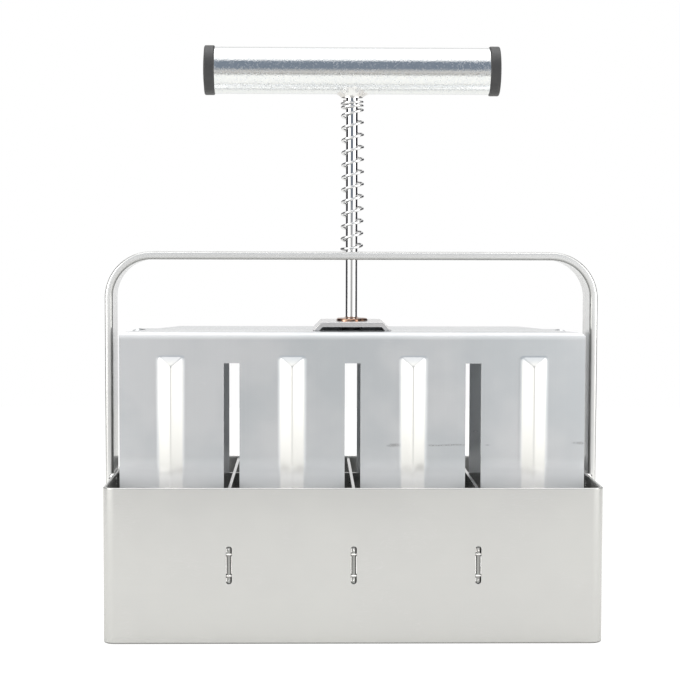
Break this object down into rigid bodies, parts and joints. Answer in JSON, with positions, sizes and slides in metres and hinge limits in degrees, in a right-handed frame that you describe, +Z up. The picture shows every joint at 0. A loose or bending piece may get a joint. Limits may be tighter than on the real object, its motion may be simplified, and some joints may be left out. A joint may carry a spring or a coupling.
{
  "type": "soil blocker",
  "caption": "Hand press with open square cells and a sprung slotted plunger on a tee handle, for making soil blocks.",
  "frame": {"origin": "middle of the mold's foot, on the surface that it stands on", "axes": "+Z up along the push rod, +X along the long side to the right, -Y the front with the legged sheet facing it"},
  "size_m": [0.2114, 0.1028, 0.2478],
  "materials": {
    "mold_steel": "satin stainless sheet",
    "divider_steel": "satin stainless sheet",
    "plunger_steel": "satin stainless sheet",
    "bail_steel": "polished flat bar",
    "bridge_steel": "satin sheet",
    "plate_steel": "satin stainless sheet",
    "peg_steel": "turned",
    "weld_metal": "bright weld bead",
    "braze_metal": "coppery braze",
    "spring_wire": "bright plated wire",
    "zinc_plate": "bright zinc plate",
    "cap_plastic": "moulded"
  },
  "bodies": {
    "mold": {"mold_wall": "mold_steel", "cross_divider": "divider_steel", "divider_front_left": "divider_steel", "divider_front_middle": "divider_steel", "divider_front_right": "divider_steel", "divider_rear_left": "divider_steel", "divider_rear_middle": "divider_steel", "divider_rear_right": "divider_steel", "tab_welds": "weld_metal", "bail": "bail_steel", "bail_welds": "weld_metal", "spring": "spring_wire"},
    "plunger": {"front_comb": "plunger_steel", "rear_comb": "plunger_steel", "leg_welds": "weld_metal", "bridge": "bridge_steel", "braze_ring": "braze_metal", "rod_end_weld": "weld_metal", "push_rod": "zinc_plate", "handle_tube": "zinc_plate", "handle_weld": "weld_metal", "cap_left": "cap_plastic", "cap_right": "cap_plastic", "press_plate_front_1": "plate_steel", "seed_peg_front_1": "peg_steel", "press_plate_front_2": "plate_steel", "seed_peg_front_2": "peg_steel", "press_plate_front_3": "plate_steel", "seed_peg_front_3": "peg_steel", "press_plate_front_4": "plate_steel", "seed_peg_front_4": "peg_steel", "press_plate_rear_1": "plate_steel", "seed_peg_rear_1": "peg_steel", "press_plate_rear_2": "plate_steel", "seed_peg_rear_2": "peg_steel", "press_plate_rear_3": "plate_steel", "seed_peg_rear_3": "peg_steel", "press_plate_rear_4": "plate_steel", "seed_peg_rear_4": "peg_steel"}
  },
  "joints": [
    {"name": "press", "type": "slide", "parent": "mold", "child": "plunger", "axis": [0, 0, -1], "range_m": [0, 0.048], "stiffness_N_per_m": 500, "springref_m": -0.02, "deforming": ["spring"]}
  ]
}
